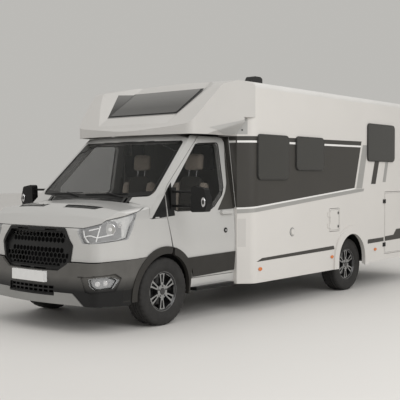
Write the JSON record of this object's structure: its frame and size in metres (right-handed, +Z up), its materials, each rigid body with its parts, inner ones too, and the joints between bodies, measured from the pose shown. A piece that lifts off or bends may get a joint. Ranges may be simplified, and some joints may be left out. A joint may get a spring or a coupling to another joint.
{
  "type": "motorhome",
  "caption": "Semi-integrated motorhome with a van cab, a moulded overcab cap with skylight, a panel-built living body, a rear garage, opening doors, steered front wheels and rolling wheels.",
  "frame": {"origin": "middle of the overall box at ground level, under the tyres", "axes": "front of the vehicle faces -Y, its left (driver's) side faces +X, +Z is up"},
  "size_m": [3.021, 6.99, 2.8],
  "materials": {
    "cab_paint": "light silver-grey paint",
    "body_paint": "warm off-white gloss panel",
    "dark_plastic": "dark grey grained plastic",
    "silver_plastic": "silver painted plastic",
    "lamp_glass": "clear lamp lens",
    "dark_glass": "tinted glass",
    "white_plastic": "white plastic",
    "steel": "black-coated steel",
    "engine_metal": "plain block",
    "floor_board": "coated floor board",
    "tyre_rubber": "black rubber",
    "wheel_alloy": "dark alloy with bright faces",
    "upholstery": "beige and dark seat cloth"
  },
  "bodies": {
    "root": {"cab_floor": "floor_board", "cab_shell": "cab_paint", "chassis_frame": "steel", "dashboard": "dark_plastic", "engine_block": "engine_metal", "exhaust": "steel", "floor_panel": "floor_board", "front_arch_trims": "dark_plastic", "front_bumper": "dark_plastic", "front_lamps": "lamp_glass", "front_suspension": "steel", "front_wings": "cab_paint", "garage_lining": "floor_board", "grille": "dark_plastic", "hinge_pillars": "steel", "number_plates": "white_plastic", "overcab_cap": "cab_paint", "rear_arch_trims": "body_paint", "rear_axle": "steel", "rear_bumper": "dark_plastic", "rear_lamps": "lamp_glass", "rear_wall": "body_paint", "roof_fittings": "white_plastic", "roof_panel": "body_paint", "running_boards": "dark_plastic", "seats": "upholstery", "side_windows": "dark_glass", "skid_plate": "silver_plastic", "skylight": "dark_glass", "steering_wheel": "dark_plastic", "tanks": "dark_plastic", "wall_left": "body_paint", "wall_right": "body_paint", "wheel_liners": "dark_plastic", "windscreen": "dark_glass"},
    "bonnet": {"bonnet": "cab_paint"},
    "cab_door_left": {"cab_door_left": "cab_paint", "door_glass_left": "dark_glass", "door_trim_left": "dark_plastic", "mirror_left": "dark_plastic"},
    "cab_door_right": {"cab_door_right": "cab_paint", "door_glass_right": "dark_glass", "door_trim_right": "dark_plastic", "mirror_right": "dark_plastic"},
    "garage_door_left": {"garage_door_left": "body_paint"},
    "garage_door_right": {"garage_door_right": "body_paint"},
    "entrance_door": {"entrance_door": "body_paint"},
    "service_flap": {"service_flap": "body_paint"},
    "knuckle_left": {"knuckle_left": "steel"},
    "knuckle_right": {"knuckle_right": "steel"},
    "wheel_front_left": {"tyre_front_left": "tyre_rubber", "rim_front_left": "wheel_alloy"},
    "wheel_front_right": {"tyre_front_right": "tyre_rubber", "rim_front_right": "wheel_alloy"},
    "wheel_rear_left": {"tyre_rear_left": "tyre_rubber", "rim_rear_left": "wheel_alloy"},
    "wheel_rear_right": {"tyre_rear_right": "tyre_rubber", "rim_rear_right": "wheel_alloy"}
  },
  "joints": [
    {"name": "steer_left", "type": "hinge", "parent": "root", "child": "knuckle_left", "pos_m": [0.8, -2.465, 0.36], "axis": [0, 0, 1], "range_deg": [-34, 34]},
    {"name": "steer_right", "type": "hinge", "parent": "root", "child": "knuckle_right", "pos_m": [-0.8, -2.465, 0.36], "axis": [0, 0, 1], "range_deg": [-34, 34]},
    {"name": "wheel_front_left_spin", "type": "hinge", "parent": "knuckle_left", "child": "wheel_front_left", "pos_m": [0.866, -2.465, 0.36], "axis": [1, 0, 0], "continuous": true},
    {"name": "wheel_rear_left_spin", "type": "hinge", "parent": "root", "child": "wheel_rear_left", "pos_m": [0.965, 1.195, 0.36], "axis": [1, 0, 0], "continuous": true},
    {"name": "cab_door_left_hinge", "type": "hinge", "parent": "root", "child": "cab_door_left", "pos_m": [0.968, -2.325, 0.95], "axis": [0, 0, -1], "range_deg": [0, 65]},
    {"name": "wheel_front_right_spin", "type": "hinge", "parent": "knuckle_right", "child": "wheel_front_right", "pos_m": [-0.866, -2.465, 0.36], "axis": [1, 0, 0], "continuous": true},
    {"name": "wheel_rear_right_spin", "type": "hinge", "parent": "root", "child": "wheel_rear_right", "pos_m": [-0.965, 1.195, 0.36], "axis": [1, 0, 0], "continuous": true},
    {"name": "cab_door_right_hinge", "type": "hinge", "parent": "root", "child": "cab_door_right", "pos_m": [-0.968, -2.325, 0.95], "axis": [0, 0, 1], "range_deg": [0, 65]},
    {"name": "bonnet_hinge", "type": "hinge", "parent": "root", "child": "bonnet", "pos_m": [0, -2.565, 1.262], "axis": [-1, 0, 0], "range_deg": [0, 45]},
    {"name": "garage_door_left_hinge", "type": "hinge", "parent": "root", "child": "garage_door_left", "pos_m": [1.169, 2.107, 0.9], "axis": [0, 0, -1], "range_deg": [0, 120]},
    {"name": "garage_door_right_hinge", "type": "hinge", "parent": "root", "child": "garage_door_right", "pos_m": [-1.169, 2.107, 0.9], "axis": [0, 0, 1], "range_deg": [0, 120]},
    {"name": "entrance_door_hinge", "type": "hinge", "parent": "root", "child": "entrance_door", "pos_m": [-1.169, -0.384, 0.9], "axis": [0, 0, 1], "range_deg": [0, 110]},
    {"name": "service_flap_hinge", "type": "hinge", "parent": "root", "child": "service_flap", "pos_m": [1.169, 0.562, 0.9], "axis": [0, 0, -1], "range_deg": [0, 120]}
  ],
  "couplings": [
    {"joint": "steer_right", "follows": "steer_left", "ratio": 1}
  ]
}
